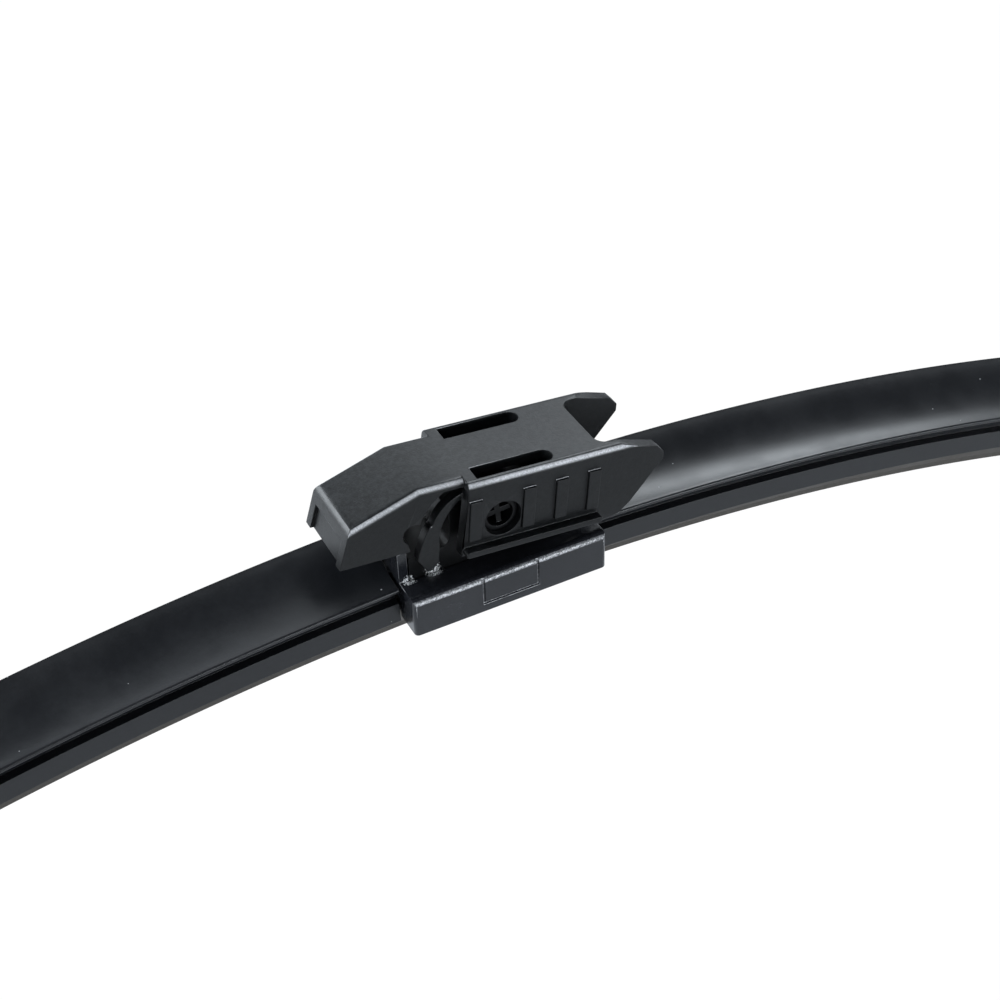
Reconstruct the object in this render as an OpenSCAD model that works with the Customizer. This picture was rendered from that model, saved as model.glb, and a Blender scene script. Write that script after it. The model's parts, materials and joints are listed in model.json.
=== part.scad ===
// Flat beam wiper blade with a pivoting centre adapter.
// X runs along the blade, Y across it, Z up. The origin is on the pivot axis, at mid width.

/* [Blade] */
// Length of the blade along its curve, end caps included
blade_length = 400; // [300:10:500]
// Radius of the pre-curved springs, at their middle plane
curve_radius = 427; // [360:1:900]
// Height of the pivot axis above the middle plane of the springs
pivot_rise = 13.1; // [12.8:0.1:14]
// Play left between pieces that slide into one another
slip = 0.06; // [0.04:0.01:0.1]

/* [Springs] */
// Width of each spring strip
strip_w = 2.6; // [2.2:0.1:3]
// Thickness of each spring strip
strip_t = 0.8; // [0.6:0.05:1]
// Clear width between the two strips, where the rubber's neck passes
strip_gap = 2.0; // [1.6:0.1:2.4]

/* [Wiping rubber] */
// Width of the head that lies on top of the strips
head_w = 4.8; // [4:0.1:5.6]
// Height of that head
head_h = 0.65; // [0.5:0.05:0.7]
// Width of the flange under the strips
flange_w = 6.0; // [5:0.1:6.4]
// Thickness of that flange
flange_t = 0.5; // [0.4:0.05:0.6]
// Thickness of the thin web that lets the lip tilt
web_t = 0.7; // [0.5:0.05:0.9]
// Width of the wedge at its shoulder
shoulder_w = 3.4; // [2.6:0.1:4]
// Thickness of the wiping edge
lip_t = 0.6; // [0.4:0.05:0.8]
// Drop from the springs' middle plane to the wiping edge
lip_drop = 6.9; // [6:0.1:7.5]

/* [Spoiler] */
// Width of the channel that holds springs and rubber
channel_w = 9.2; // [8.8:0.1:9.6]
// Wall of that channel
channel_wall = 0.85; // [0.7:0.05:0.9]
// Thickness of the two jaws under the rubber's flange
jaw_t = 0.7; // [0.5:0.05:0.9]
// Reach of the front lip from the middle plane
front_reach = 5.5; // [5.2:0.1:5.6]
// Height of the front lip above the springs
front_height = 5.1; // [4.8:0.1:5.6]
// Reach of the crest behind the middle plane
crest_reach = 4.9; // [4.4:0.1:5]
// Height of the crest above the springs
crest_height = 10.2; // [9.2:0.1:10.4]
// Depth of the hollow in the wind face
scoop_depth = 1.5; // [0.8:0.1:1.8]
// Radius of the front lip's edge
lip_r = 0.45; // [0.3:0.05:0.5]
// Depth of the dark groove under the front lip, from the channel's wall
groove_depth = 1.5; // [1:0.1:1.8]
// Wall over the channel, under that groove
channel_roof = 0.55; // [0.5:0.05:0.8]

/* [End caps] */
// Length of each end cap
cap_length = 17; // [12:1:24]
// Wall of the end caps
cap_wall = 0.9; // [0.7:0.1:1.2]
// Radius of the end caps' upper corners
cap_round = 6; // [3:0.5:8]

/* [Centre base] */
// Length of the base along the blade
base_l = 31; // [29:0.2:33]
// Distance of the base's middle from the pivot, towards the adapter's ears
base_shift = 0.4; // [0:0.1:0.8]
// Width of the base over its skirts
base_w = 18; // [17.4:0.2:20]
// Depth of the base's flat shelf below the pivot axis
shelf_drop = 8.4; // [8.2:0.1:8.8]
// Wall of the base cover
cover_wall = 1.2; // [1:0.1:1.4]
// Two ends of the snap tongue in each skirt, along the blade
tongue_x0 = -4.1; // [-8:0.1:-2]
tongue_x1 = 4.6; // [2:0.1:8]
// Width of the seams round it
seam_w = 0.3; // [0.2:0.05:0.5]
// Radius of the shelf's long edges
shelf_round = 1.1; // [0.8:0.1:1.2]
// Width of the raised middle that carries the axle
upstand_w = 8.4; // [7.6:0.1:8.6]
// Length of the tall part of that middle, each way from the pivot
tall_reach = 6.8; // [6.2:0.1:7.4]
// Depth of the low part's top below the pivot axis
low_drop = 4.6; // [4.4:0.1:5.2]
// Depth of the end blocks' tops below the pivot axis
end_drop = 3.2; // [3:0.1:3.6]

/* [Pivot] */
// Diameter of the adapter's bore
bore_d = 5.7; // [5.2:0.1:6]
// Running clearance between axle and bore, on the radius
bore_play = 0.05; // [0.02:0.01:0.09]
// Wall of the hollow axle
axle_wall = 0.8; // [0.6:0.1:1]
// Depth of the axle's ends below the adapter's outer faces
axle_recess = 1.0; // [0.4:0.1:1.2]
// Radius of the bosses round the axle
boss_r = 4.2; // [3.8:0.1:4.5]

/* [Adapter] */
// Turn of the adapter on its pivot, as it stands at rest
adapter_tilt = 5.3; // [4.8:0.1:5.8]
// Width over the two side walls
adapter_w = 15.4; // [15.2:0.1:16]
// Thickness of the side walls
side_t = 1.9; // [1.6:0.1:1.9]
// Height of the top face above the pivot axis
top_h = 7.16; // [7:0.02:7.6]
// Thickness of the top wall
top_t = 1.6; // [1.2:0.1:1.7]
// Radius of the long top edges
top_round = 1.1; // [0.6:0.1:1.2]
// Place of the top wall's rear edge
top_rear = 15.8; // [14.6:0.2:17]
// Radius of the two corners between that edge and the ears
fork_r = 1.8; // [0.6:0.1:3]
// Place of the ears' tips
ear_reach = 25.9; // [24:0.1:28]
// Place where the ears' tops start to slope
ear_bend = 18.6; // [17.8:0.1:21]
// Slope of the ears' tops
ear_slope = 16; // [12:1:20]
// Height of the ears' tips above the pivot axis
ear_tip_high = 4.2; // [3.8:0.1:4.4]
// Width over the nose's side walls
nose_w = 12.2; // [12:0.1:12.4]
// Thickness of the nose's side walls
nose_t = 1.6; // [1.3:0.1:1.6]
// Place of the nose's front, at its lower edge
nose_reach = 24.1; // [23:0.1:25]
// Slope of the nose's roof
nose_slope = 21; // [19:1:23]
// Lean of the nose's front from the upright
nose_lean = 12.8; // [8:0.2:16]
// Radius between the nose's roof and its front
brow_r = 2.2; // [1.8:0.1:3]
// Place where the roof starts to slope
roof_start = -12.4; // [-13.4:0.1:-11.6]
// Place of the ribbed body's front
body_front = -5.5; // [-5.8:0.1:-5.2]
// Depth of the nose's lower edge below the pivot axis
nose_drop = 3.0; // [2.6:0.1:3.1]

/* [Adapter details] */
// Width of each raised rib
rib_w = 1.95; // [1.4:0.05:2.2]
// Height that the ribs stand out
rib_out = 0.5; // [0.3:0.1:0.8]
// Length of the two slots in the top wall
slot_l = 12.3; // [10:0.1:13]
// Width of those slots
slot_w = 2.7; // [2:0.1:2.8]
// Distance of the slots' middle lines from the middle plane
slot_y = 5.2; // [4.8:0.1:5.3]
// Reach of the lower rails beyond the base's skirts
rail_over = 0.1; // [-0.4:0.1:0.3]
// Thickness of the lower rails
rail_t = 1.0; // [0.8:0.1:1.2]
// Width of the curved legs
leg_w = 1.6; // [1.4:0.1:1.6]

/* [Hidden] */

// Fineness of the blade's long curve and of the small round shapes
arc_fn = 720;
round_fn = 64;
// Overrun of a cutting shape past the face that it cuts
over = 1;

// Heights in the blade's section, from the springs' middle plane
cavity_top = strip_t / 2 + slip + head_h + slip;
cavity_floor = -strip_t / 2 - slip - flange_t - slip;
channel_floor = cavity_floor - jaw_t;
cavity_half = strip_gap / 2 + strip_w + slip;
jaw_half = web_t / 2 + 0.9;
groove_floor = cavity_top + channel_roof;

// Stretch of the blade taken by its pieces, measured along the curve from the middle
base_half = base_l / 2;
base_end_gap = 0.35;
blade_end = blade_length / 2;
core_end = blade_end - cap_wall - 0.4;

// Levels of the base, from the pivot axis
shelf_z = -shelf_drop;
skirt_z = channel_floor - pivot_rise;
under_shelf_z = shelf_z - cover_wall;
clamp_top_z = under_shelf_z - 0.2;
body_gap = 0.2;

axle_d = bore_d - 2 * bore_play;
axle_l = adapter_w - 2 * axle_recess;
side_in = adapter_w / 2 - side_t;
wall_drop = 5.0;

// Centre of the rounding between the nose's roof and its leaning front, in side view
roof_normal = [-sin(nose_slope), cos(nose_slope)];
front_normal = [-cos(nose_lean), sin(nose_lean)];
roof_level = roof_normal * [roof_start, top_h] - brow_r;
front_level = front_normal * [-nose_reach, -nose_drop] - brow_r;
brow_c = [roof_level * front_normal[1] - front_level * roof_normal[1],
    roof_normal[0] * front_level - front_normal[0] * roof_level]
    / (roof_normal[0] * front_normal[1] - roof_normal[1] * front_normal[0]);
ear_tip_low = ear_tip_high - 1.2;
// Arc of the legs' outer edge in side view, which the nose's opening follows
leg_c = [-4.0, -1.3];
leg_r = 6.5;

// Sweeps a section, drawn with Y across and Z up from the springs' middle plane, along the curve
module swept(s0, s1) {
    a0 = s0 / curve_radius * 180 / PI;
    a1 = s1 / curve_radius * 180 / PI;
    translate([0, 0, -curve_radius - pivot_rise])
        rotate([90, 0, 0])
            rotate_extrude(angle = a1 - a0, start = 90 - a1, $fn = arc_fn)
                translate([curve_radius, 0])
                    rotate(-90)
                        children();
}

// Puts a straight piece at the blade's right-hand end, its X along the curve
module at_blade_end() {
    translate([0, 0, -curve_radius - pivot_rise])
        rotate([0, blade_end / curve_radius * 180 / PI, 0])
            translate([0, 0, curve_radius])
                children();
}

// Extrudes a section, drawn with Y across and Z up, along X
module along_x(x0, x1) {
    translate([x0, 0, 0])
        rotate([90, 0, 90])
            linear_extrude(x1 - x0)
                children();
}

// Extrudes an outline, drawn with X along and Z up, between two distances across the blade
module across(y0, y1) {
    translate([0, y1, 0])
        rotate([90, 0, 0])
            linear_extrude(y1 - y0)
                children();
}

// A pair of like extrusions, one on each side of the middle plane
module both_sides(y_in, y_out) {
    across(y_in, y_out) children();
    across(-y_out, -y_in) children();
}

// A box between two corners
module span(low, high) {
    translate(low) cube(high - low);
}

// Section of the two strips' seats and of the rubber's head, flange and way out
module core_space() {
    translate([-cavity_half, cavity_floor]) square([2 * cavity_half, cavity_top - cavity_floor]);
    translate([-jaw_half, channel_floor - over]) square([2 * jaw_half, over + jaw_t + over / 2]);
}

// Spring strips
module strip_section() {
    translate([strip_gap / 2, -strip_t / 2]) square([strip_w, strip_t]);
}

module spring_strip_front() {
    color([0.16, 0.16, 0.17]) swept(-core_end, core_end) mirror([1, 0]) strip_section();
}

module spring_strip_rear() {
    color([0.16, 0.16, 0.17]) swept(-core_end, core_end) strip_section();
}

// Wiping rubber, one extrusion: head, neck, flange, tilting web, wedge and edge
function mirrored(half) = concat(half, [for (i = [len(half) - 1 : -1 : 0]) [-half[i][0], half[i][1]]]);

module rubber_section() {
    neck = strip_gap / 2 - slip;
    seat = strip_t / 2 + slip;
    web_top = channel_floor - 0.1;
    shoulder = web_top - 0.6;
    edge_h = 1.0;
    chamfer = 0.3;
    polygon(mirrored([
        [head_w / 2 - chamfer, seat + head_h], [head_w / 2, seat + head_h - chamfer],
        [head_w / 2, seat], [neck, seat], [neck, -seat], [flange_w / 2, -seat],
        [flange_w / 2, -seat - flange_t], [jaw_half - slip, -seat - flange_t],
        [jaw_half - slip, web_top], [web_t / 2, web_top], [web_t / 2, shoulder],
        [shoulder_w / 2, shoulder], [shoulder_w / 2, shoulder - 0.5],
        [lip_t / 2 + 0.25, -lip_drop + edge_h + 0.1], [lip_t / 2, -lip_drop + edge_h],
        [lip_t / 2, -lip_drop]
    ]));
}

module wiping_rubber() {
    color([0.1, 0.1, 0.1]) swept(-core_end, core_end) rubber_section();
}

// Spoiler, with the channel that holds springs and rubber under its wind face
function mid(a, b) = (a + b) / 2;

module scoop(low, high, depth) {
    chord = norm(high - low);
    r = (chord * chord / 4 + depth * depth) / (2 * depth);
    across_chord = [low[1] - high[1], high[0] - low[0]] / chord;
    translate(mid(low, high) + across_chord * (r - depth)) circle(r, $fn = 160);
}

module spoiler_section() {
    half = channel_w / 2;
    lip = [-front_reach + lip_r, front_height - lip_r];
    crest_r = 0.4;
    crest = [crest_reach - crest_r, crest_height - crest_r];
    meet = 20;
    face_low = lip + lip_r * [-sin(meet), cos(meet)];
    face_high = crest + crest_r * [sin(meet), cos(meet)];
    difference() {
        union() {
            translate([-half, channel_floor]) square([2 * half, groove_floor - channel_floor]);
            polygon([
                [-half + groove_depth, groove_floor - over / 2], [half, groove_floor - over / 2],
                [crest_reach, crest[1]], crest, [lip[0], lip[1] + lip_r / 2], lip - [0, lip_r],
                [-half + groove_depth, front_height - 2 * lip_r - 0.5]
            ]);
            translate(lip) circle(lip_r, $fn = round_fn);
            translate(crest) circle(crest_r, $fn = round_fn);
        }
        scoop(face_low, face_high, scoop_depth);
        core_space();
        // Grip groove along the rear wall
        translate([half + 0.5, groove_floor + 0.8]) circle(0.8, $fn = round_fn);
    }
}

module spoiler_right() {
    color([0.13, 0.13, 0.14]) swept(base_half + base_shift + base_end_gap, core_end) spoiler_section();
}

module spoiler_left() {
    color([0.13, 0.13, 0.14]) swept(-core_end, base_shift - base_half - base_end_gap) spoiler_section();
}

// End caps, slid over the spoiler and closed at the outer end
module cap_outline(grow) {
    half = channel_w / 2 + grow;
    front = -front_reach - grow;
    low = [front, front_height + grow / 2];
    high = [crest_reach + grow, crest_height + grow + lip_r];
    difference() {
        polygon([
            [-half, channel_floor - grow], [half, channel_floor - grow],
            [half, groove_floor], high, low, [front, front_height - 2 * lip_r - grow / 2]
        ]);
        scoop(low, high, scoop_depth / 2);
    }
}

// What rounds off the upper outer corner of a cap, in side view and in plan
module cap_corners() {
    top = crest_height + cap_wall + over;
    wide = channel_w + 4 * cap_wall;
    plan_r = cap_round / 2;
    difference() {
        span([-cap_round, -wide, top - cap_round], [over, wide, top + over]);
        translate([-cap_round, 0, top - cap_round])
            rotate([90, 0, 0]) cylinder(r = cap_round, h = 4 * wide, center = true, $fn = round_fn);
    }
    for (side = [-1, 1])
        difference() {
            span([-plan_r, side < 0 ? -wide : wide / 2 - plan_r + 1, -wide],
                [over, side < 0 ? -wide / 2 + plan_r - 1 : wide, 2 * wide]);
            translate([-plan_r, side * (wide / 2 - plan_r + 1), 0])
                cylinder(r = plan_r, h = 6 * wide, center = true, $fn = round_fn);
        }
}

module end_cap_right() {
    clear = 0.15;
    way_half = shoulder_w / 2 + clear;
    color([0.09, 0.09, 0.1]) difference() {
        swept(blade_end - cap_length, blade_end) cap_outline(cap_wall + clear);
        swept(blade_end - cap_length - over, blade_end - cap_wall) cap_outline(clear);
        // Way out for the rubber's wedge
        swept(blade_end - cap_length - over, blade_end - cap_wall)
            translate([-way_half, channel_floor - 2 * cap_wall]) square([2 * way_half, 2 * cap_wall]);
        at_blade_end() cap_corners();
    }
}

module end_cap_left() {
    mirror([1, 0, 0]) end_cap_right();
}

// Base cover: a glossy shelf with skirts at the sides and a raised block at each end
module shelf_section() {
    half = base_w / 2;
    translate([-half, skirt_z]) square([base_w, shelf_z - shelf_round - skirt_z]);
    translate([-half + shelf_round, skirt_z]) square([base_w - 2 * shelf_round, shelf_z - skirt_z]);
    for (side = [-1, 1])
        translate([side * (half - shelf_round), shelf_z - shelf_round])
            circle(shelf_round, $fn = round_fn);
}

// A rectangle with round corners, seen in plan
module round_plan(l, w, r) {
    square([l - 2 * r, w], center = true);
    square([l, w - 2 * r], center = true);
    for (i = [-1, 1], j = [-1, 1])
        translate([i * (l / 2 - r), j * (w / 2 - r)]) circle(r, $fn = round_fn);
}

// Groove round the snap tongue in each skirt: two seams down from the shelf's edge, and one along
module tongue_grooves() {
    low = -13.4;
    depth = 0.3;
    for (x = [tongue_x0, tongue_x1])
        both_sides(base_w / 2 - depth, base_w / 2 + over)
            translate([x - seam_w / 2, low]) square([seam_w, shelf_z + over - low]);
    both_sides(base_w / 2 - depth, base_w / 2 + over)
        translate([tongue_x0 - seam_w / 2, low]) square([tongue_x1 - tongue_x0 + seam_w, seam_w]);
}

module base_cover() {
    corner_r = 0.7;
    end_t = 1.5;
    window_half = upstand_w / 2 + body_gap;
    color([0.05, 0.05, 0.055]) difference() {
        translate([base_shift, 0, 0]) difference() {
            union() {
                intersection() {
                    along_x(-base_half, base_half) shelf_section();
                    translate([0, 0, skirt_z - over])
                        linear_extrude(shelf_z - skirt_z + 2 * over) round_plan(base_l, base_w, corner_r);
                }
                for (side = [-1, 1])
                    span([side < 0 ? -base_half : base_half - end_t, -upstand_w / 2, shelf_z - over / 2],
                        [side < 0 ? -base_half + end_t : base_half, upstand_w / 2, -end_drop]);
            }
            // Hollow under the shelf
            span([-base_half + end_t, -base_w / 2 + cover_wall, skirt_z - over],
                [base_half - end_t, base_w / 2 - cover_wall, under_shelf_z]);
            // Window for the raised middle of the carrier
            span([-base_half + end_t, -window_half, under_shelf_z - over],
                [base_half - end_t, window_half, over]);
        }
        tongue_grooves();
        // Way through both ends for springs and rubber
        swept(-base_l, base_l)
            translate([-cavity_half - body_gap, channel_floor - over])
                square([2 * (cavity_half + body_gap), cavity_top + body_gap - channel_floor + over]);
    }
}

// Base carrier: clamps the springs, and carries the axle in its raised middle
module upstand_outline() {
    reach = base_half - 1.5 - body_gap;
    foot_r = 1.6;
    top_r = 4.7;
    shoulder_h = 1.8;
    difference() {
        union() {
            translate([base_shift - reach, clamp_top_z - over / 2])
                square([2 * reach, -low_drop - clamp_top_z + over / 2]);
            translate([-tall_reach - foot_r, -low_drop - over / 2])
                square([2 * (tall_reach + foot_r), foot_r + over / 2]);
            translate([-tall_reach, -low_drop - over / 2])
                square([2 * tall_reach, low_drop + shoulder_h + over / 2]);
            circle(top_r, $fn = round_fn * 2);
        }
        for (side = [-1, 1])
            translate([side * (tall_reach + foot_r), -low_drop + foot_r])
                circle(foot_r, $fn = round_fn);
    }
}

module base_carrier() {
    clamp_half = cavity_half + 2.4;
    clamp_l = base_half - 1.5 - body_gap;
    boss_l = side_in - 0.25;
    pocket_wall = 1.2;
    color([0.07, 0.07, 0.075]) difference() {
        union() {
            translate([base_shift, 0, 0])
                span([-clamp_l, -clamp_half, skirt_z + 0.1], [clamp_l, clamp_half, clamp_top_z]);
            both_sides(0, upstand_w / 2) upstand_outline();
            both_sides(upstand_w / 2 - over, boss_l) circle(boss_r, $fn = round_fn * 2);
        }
        swept(-base_l, base_l) core_space();
        rotate([90, 0, 0])
            cylinder(d = axle_d + 0.04, h = base_w, center = true, $fn = round_fn * 2);
        // Lightening pockets under the clamp's flanks
        for (side = [-1, 1], i = [-1, 1])
            translate([base_shift, 0, 0])
                span([i < 0 ? pocket_wall - clamp_l : pocket_wall, side < 0 ? -clamp_half - over : cavity_half + 1.2,
                    skirt_z - over],
                    [i < 0 ? -pocket_wall : clamp_l - pocket_wall, side < 0 ? -cavity_half - 1.2 : clamp_half + over,
                    clamp_top_z - 1.4]);
    }
}

// Axle: a hollow moulded pin, stiffened by a cross web
module axle() {
    web = 0.9;
    web_depth = 0.8;
    pocket = 3;
    inner = axle_d / 2 - axle_wall;
    color([0.12, 0.12, 0.13]) rotate([90, 0, 0]) difference() {
        cylinder(d = axle_d, h = axle_l, center = true, $fn = round_fn * 2);
        for (end = [-1, 1]) {
            translate([0, 0, end < 0 ? -axle_l / 2 - over : axle_l / 2 - web_depth])
                cylinder(r = inner, h = web_depth + over, $fn = round_fn * 2);
            translate([0, 0, end < 0 ? -axle_l / 2 : axle_l / 2 - pocket])
                linear_extrude(pocket)
                    difference() {
                        circle(inner, $fn = round_fn * 2);
                        rotate(adapter_tilt) {
                            square([web, axle_d], center = true);
                            square([axle_d, web], center = true);
                        }
                    }
        }
    }
}

// Adapter: one moulding with a nose, ribbed side walls, lower rails, two ears and two curved legs

// Section of a bar with round upper corners
module rounded_bar(w, depth, top) {
    translate([-w / 2, top - depth]) square([w, depth - top_round]);
    translate([-w / 2 + top_round, top - depth]) square([w - 2 * top_round, depth]);
    for (side = [-1, 1])
        translate([side * (w / 2 - top_round), top - top_round]) circle(top_round, $fn = round_fn);
}

// Side view of the ribbed body and its ears
// The outline runs past the top, which the bar with round corners trims
module body_outline() {
    front_lean = 0.8;
    shoulder_x = ear_reach - 1.2;
    past_top = top_h + over;
    polygon([
        [body_front - front_lean, -wall_drop], [top_rear + 1.2, -wall_drop - 0.3],
        [top_rear + 3.4, -wall_drop + 0.1], [top_rear + 5.2, -wall_drop + 1.7],
        [ear_reach, ear_tip_low], [ear_reach, ear_tip_high],
        [shoulder_x, top_h - (shoulder_x - ear_bend) * tan(ear_slope)],
        [ear_bend - over / tan(ear_slope), past_top], [body_front, past_top]
    ]);
}

module body() {
    intersection() {
        along_x(-8, ear_reach + over) rounded_bar(adapter_w, 20, top_h);
        difference() {
            both_sides(0, adapter_w / 2) body_outline();
            // Channel between the side walls, open below and to the rear
            span([-8 - over, -side_in, -wall_drop - 2 * over], [ear_reach + over, side_in, top_h - top_t]);
            linear_extrude(top_h + over) {
                translate([top_rear + fork_r, -side_in])
                    square([ear_reach + over - top_rear - fork_r, 2 * side_in]);
                translate([top_rear, fork_r - side_in]) square([ear_reach - top_rear, 2 * (side_in - fork_r)]);
                for (side = [-1, 1])
                    translate([top_rear + fork_r, side * (side_in - fork_r)]) circle(fork_r, $fn = round_fn);
            }
        }
    }
}

// Side view of the nose, set back all round by the same wall
module nose_outline(inset) {
    r = brow_r - inset;
    polygon([
        [-nose_reach, -nose_drop] - inset * front_normal - [0, inset * 2],
        brow_c + r * front_normal, brow_c + r * roof_normal,
        [roof_start + inset * tan(nose_slope / 2), top_h - inset],
        [body_front + 0.5, top_h - inset], [body_front + 0.5, -nose_drop - inset * 2]
    ]);
    translate(brow_c) circle(r, $fn = round_fn);
}

// Opening behind the nose's side walls, in side view: an arch round the leg, and a round pocket
module nose_notch() {
    arch_gap = 2.0;
    arch_top = top_h - top_t + 0.3;
    pocket = [-13, -0.1];
    pocket_r = 1.6;
    low = -nose_drop - over;
    intersection() {
        translate(leg_c) circle(leg_r + arch_gap, $fn = round_fn * 2);
        translate([-nose_reach, low]) square([nose_reach + body_front + over, arch_top - low]);
    }
    translate(pocket) circle(pocket_r, $fn = round_fn);
    polygon([
        [pocket[0] + 0.9, pocket[1] + 1.5], [pocket[0] - 0.9, pocket[1] - 1.3], [pocket[0] - 0.1, low],
        [body_front + over, low], [body_front + over, pocket[1] + 1.5]
    ]);
}

module nose() {
    front_back = 0.5;
    inner = nose_w / 2 - nose_t;
    difference() {
        intersection() {
            along_x(-nose_reach - over, body_front + 0.5) rounded_bar(nose_w, 20, top_h);
            translate([roof_start, 0, top_h])
                rotate([0, -nose_slope, 0])
                    along_x(-2 * nose_reach, 2 * nose_reach) rounded_bar(nose_w, 20, 0);
            both_sides(0, nose_w / 2) {
                nose_outline(0);
                polygon([
                    brow_c + (brow_r - over) * roof_normal, brow_c + (brow_r + over) * roof_normal,
                    [body_front + 0.5, top_h + 2 * over], [body_front + 0.5, top_h - over]
                ]);
            }
        }
        // Room under the roof
        across(-inner, inner) nose_outline(top_t - 0.1);
        // Front wall set back between the side walls
        across(-inner, inner)
            translate([-nose_reach, -nose_drop])
                rotate(-nose_lean) translate([-over, -over]) square([over + front_back, over + 4]);
        both_sides(inner - over, nose_w) nose_notch();
    }
}

// Curved leg that springs from the body's front, thickens at a kink and ends in a wedge foot
module leg_outline() {
    kink_z = 0.4;
    root_x = body_front + 0.5;
    difference() {
        union() {
            intersection() {
                translate(leg_c) circle(leg_r, $fn = round_fn * 2);
                translate([root_x - leg_r, 0]) square([leg_r, leg_r]);
            }
            // Stouter lower half with its foot
            intersection() {
                translate([1.9, -6.3]) circle(14.2, $fn = round_fn * 4);
                polygon([
                    [-13, kink_z], [-8, kink_z], [-8.95, -2.1], [-8.95, -6.2], [-10.2, -7.4],
                    [-10.7, -7.4], [-13, -3.87]
                ]);
            }
        }
        // Inner edge
        translate([-1.6, -2.1]) circle(7.42, $fn = round_fn * 2);
    }
}

module rails_and_ribs() {
    half = adapter_w / 2;
    rail_low = -4.5;
    rail_x0 = body_front - 0.7;
    rail_x1 = top_rear - 0.1;
    rib_low = -2.4;
    rib_high = 4.3;
    rib_x = [body_front + 0.05, 2.9, 8.1, 13.3];
    both_sides(half - 0.5, base_w / 2 + rail_over) {
        translate([rail_x0 + rail_t / 2, rail_low]) square([rail_x1 - rail_x0 - rail_t, rail_t]);
        for (x = [rail_x0 + rail_t / 2, rail_x1 - rail_t / 2])
            translate([x, rail_low + rail_t / 2]) circle(rail_t / 2, $fn = round_fn);
    }
    for (x = rib_x)
        both_sides(half - 0.5, half + rib_out)
            translate([x, rib_low]) square([rib_w, rib_high - rib_low]);
}

// Slot in the top wall: square towards the nose, round towards the ears
module slot_plan() {
    translate([0, -slot_w / 2]) square([slot_l - slot_w / 2, slot_w]);
    translate([slot_l - slot_w / 2, 0]) circle(slot_w / 2, $fn = round_fn);
}

module adapter() {
    slot_x = -3.8;
    color([0.24, 0.25, 0.26]) rotate([0, adapter_tilt, 0]) difference() {
        union() {
            body();
            nose();
            both_sides(nose_w / 2 - leg_w, nose_w / 2) leg_outline();
            rails_and_ribs();
        }
        rotate([90, 0, 0])
            cylinder(d = bore_d, h = adapter_w + 2 * over, center = true, $fn = round_fn * 2);
        for (side = [-1, 1])
            translate([slot_x, side * slot_y, top_h - top_t - over / 2])
                linear_extrude(top_t + 2 * over) slot_plan();
    }
}

adapter();
axle();
base_carrier();
base_cover();
spring_strip_front();
spring_strip_rear();
wiping_rubber();
spoiler_left();
spoiler_right();
end_cap_left();
end_cap_right();
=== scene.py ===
"""Looks of a flat beam wiper blade with a pivoting centre adapter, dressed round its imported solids.

Lengths are in millimetres, and MM turns them into Blender's metres. Only the studio's lamps and floor
are given in metres.
"""

import json
import logging
import math
from collections.abc import Callable, Iterable, Sequence
from dataclasses import dataclass, field
from enum import Enum
from typing import ClassVar

import bpy
from mathutils import Matrix, Vector

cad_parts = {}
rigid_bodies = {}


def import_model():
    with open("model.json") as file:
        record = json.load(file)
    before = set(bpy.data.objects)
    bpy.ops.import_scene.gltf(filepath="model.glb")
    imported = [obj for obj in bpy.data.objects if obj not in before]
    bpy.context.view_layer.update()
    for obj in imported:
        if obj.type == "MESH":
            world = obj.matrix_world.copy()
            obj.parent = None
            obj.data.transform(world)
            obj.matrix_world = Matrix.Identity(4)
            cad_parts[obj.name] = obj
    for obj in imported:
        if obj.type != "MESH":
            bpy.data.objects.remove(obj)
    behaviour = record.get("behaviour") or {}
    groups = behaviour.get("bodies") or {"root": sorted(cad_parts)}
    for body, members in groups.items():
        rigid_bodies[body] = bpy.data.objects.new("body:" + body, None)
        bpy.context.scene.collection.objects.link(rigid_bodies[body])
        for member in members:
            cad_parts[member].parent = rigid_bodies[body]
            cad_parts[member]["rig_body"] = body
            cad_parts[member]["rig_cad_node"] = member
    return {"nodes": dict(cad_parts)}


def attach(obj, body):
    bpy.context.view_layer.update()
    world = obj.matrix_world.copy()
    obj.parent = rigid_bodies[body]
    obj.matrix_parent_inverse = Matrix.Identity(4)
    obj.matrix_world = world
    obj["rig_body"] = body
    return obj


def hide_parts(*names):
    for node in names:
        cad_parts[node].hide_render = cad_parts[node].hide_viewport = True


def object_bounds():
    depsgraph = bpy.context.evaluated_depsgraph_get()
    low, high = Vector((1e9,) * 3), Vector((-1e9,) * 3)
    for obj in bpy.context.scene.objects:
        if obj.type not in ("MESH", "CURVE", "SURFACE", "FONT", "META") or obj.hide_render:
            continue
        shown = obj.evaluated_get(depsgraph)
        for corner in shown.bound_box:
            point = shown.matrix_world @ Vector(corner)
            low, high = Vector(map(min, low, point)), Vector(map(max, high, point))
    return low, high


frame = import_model()
CAD_BOX = [list(corner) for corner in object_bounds()]

MM = 0.001
MERGE_METRES = 1e-6
FLAT_DEGREES = 0.3

Point = tuple[float, float]
Place = tuple[float, float, float]
Colour = tuple[float, float, float]
Socket = bpy.types.NodeSocket
Value = float | Socket | tuple[float, ...] | Vector
Span = tuple[Value, Value]

log = logging.getLogger("wiper")


class Body(Enum):
    """The two bodies that pieces ride on."""

    ADAPTER = "adapter"
    BLADE = "blade"


class Side(Enum):
    """The two halves of the blade, seen from the front."""

    LEFT = -1
    RIGHT = 1


class Blend(Enum):
    """What a Mix node blends: its data type, the places of its two inputs, and of its output."""

    FLOAT = ("FLOAT", 2, 3, 0)
    COLOUR = ("RGBA", 6, 7, 2)


# Modelling helpers


def select_only(*objects: bpy.types.Object) -> None:
    """Leaves just these objects selected, the first of them active.

    Args:
        objects: what the next operator acts on.
    """
    bpy.ops.object.select_all(action="DESELECT")
    for item in objects:
        item.select_set(True)
    if objects:
        bpy.context.view_layer.objects.active = objects[0]


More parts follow.
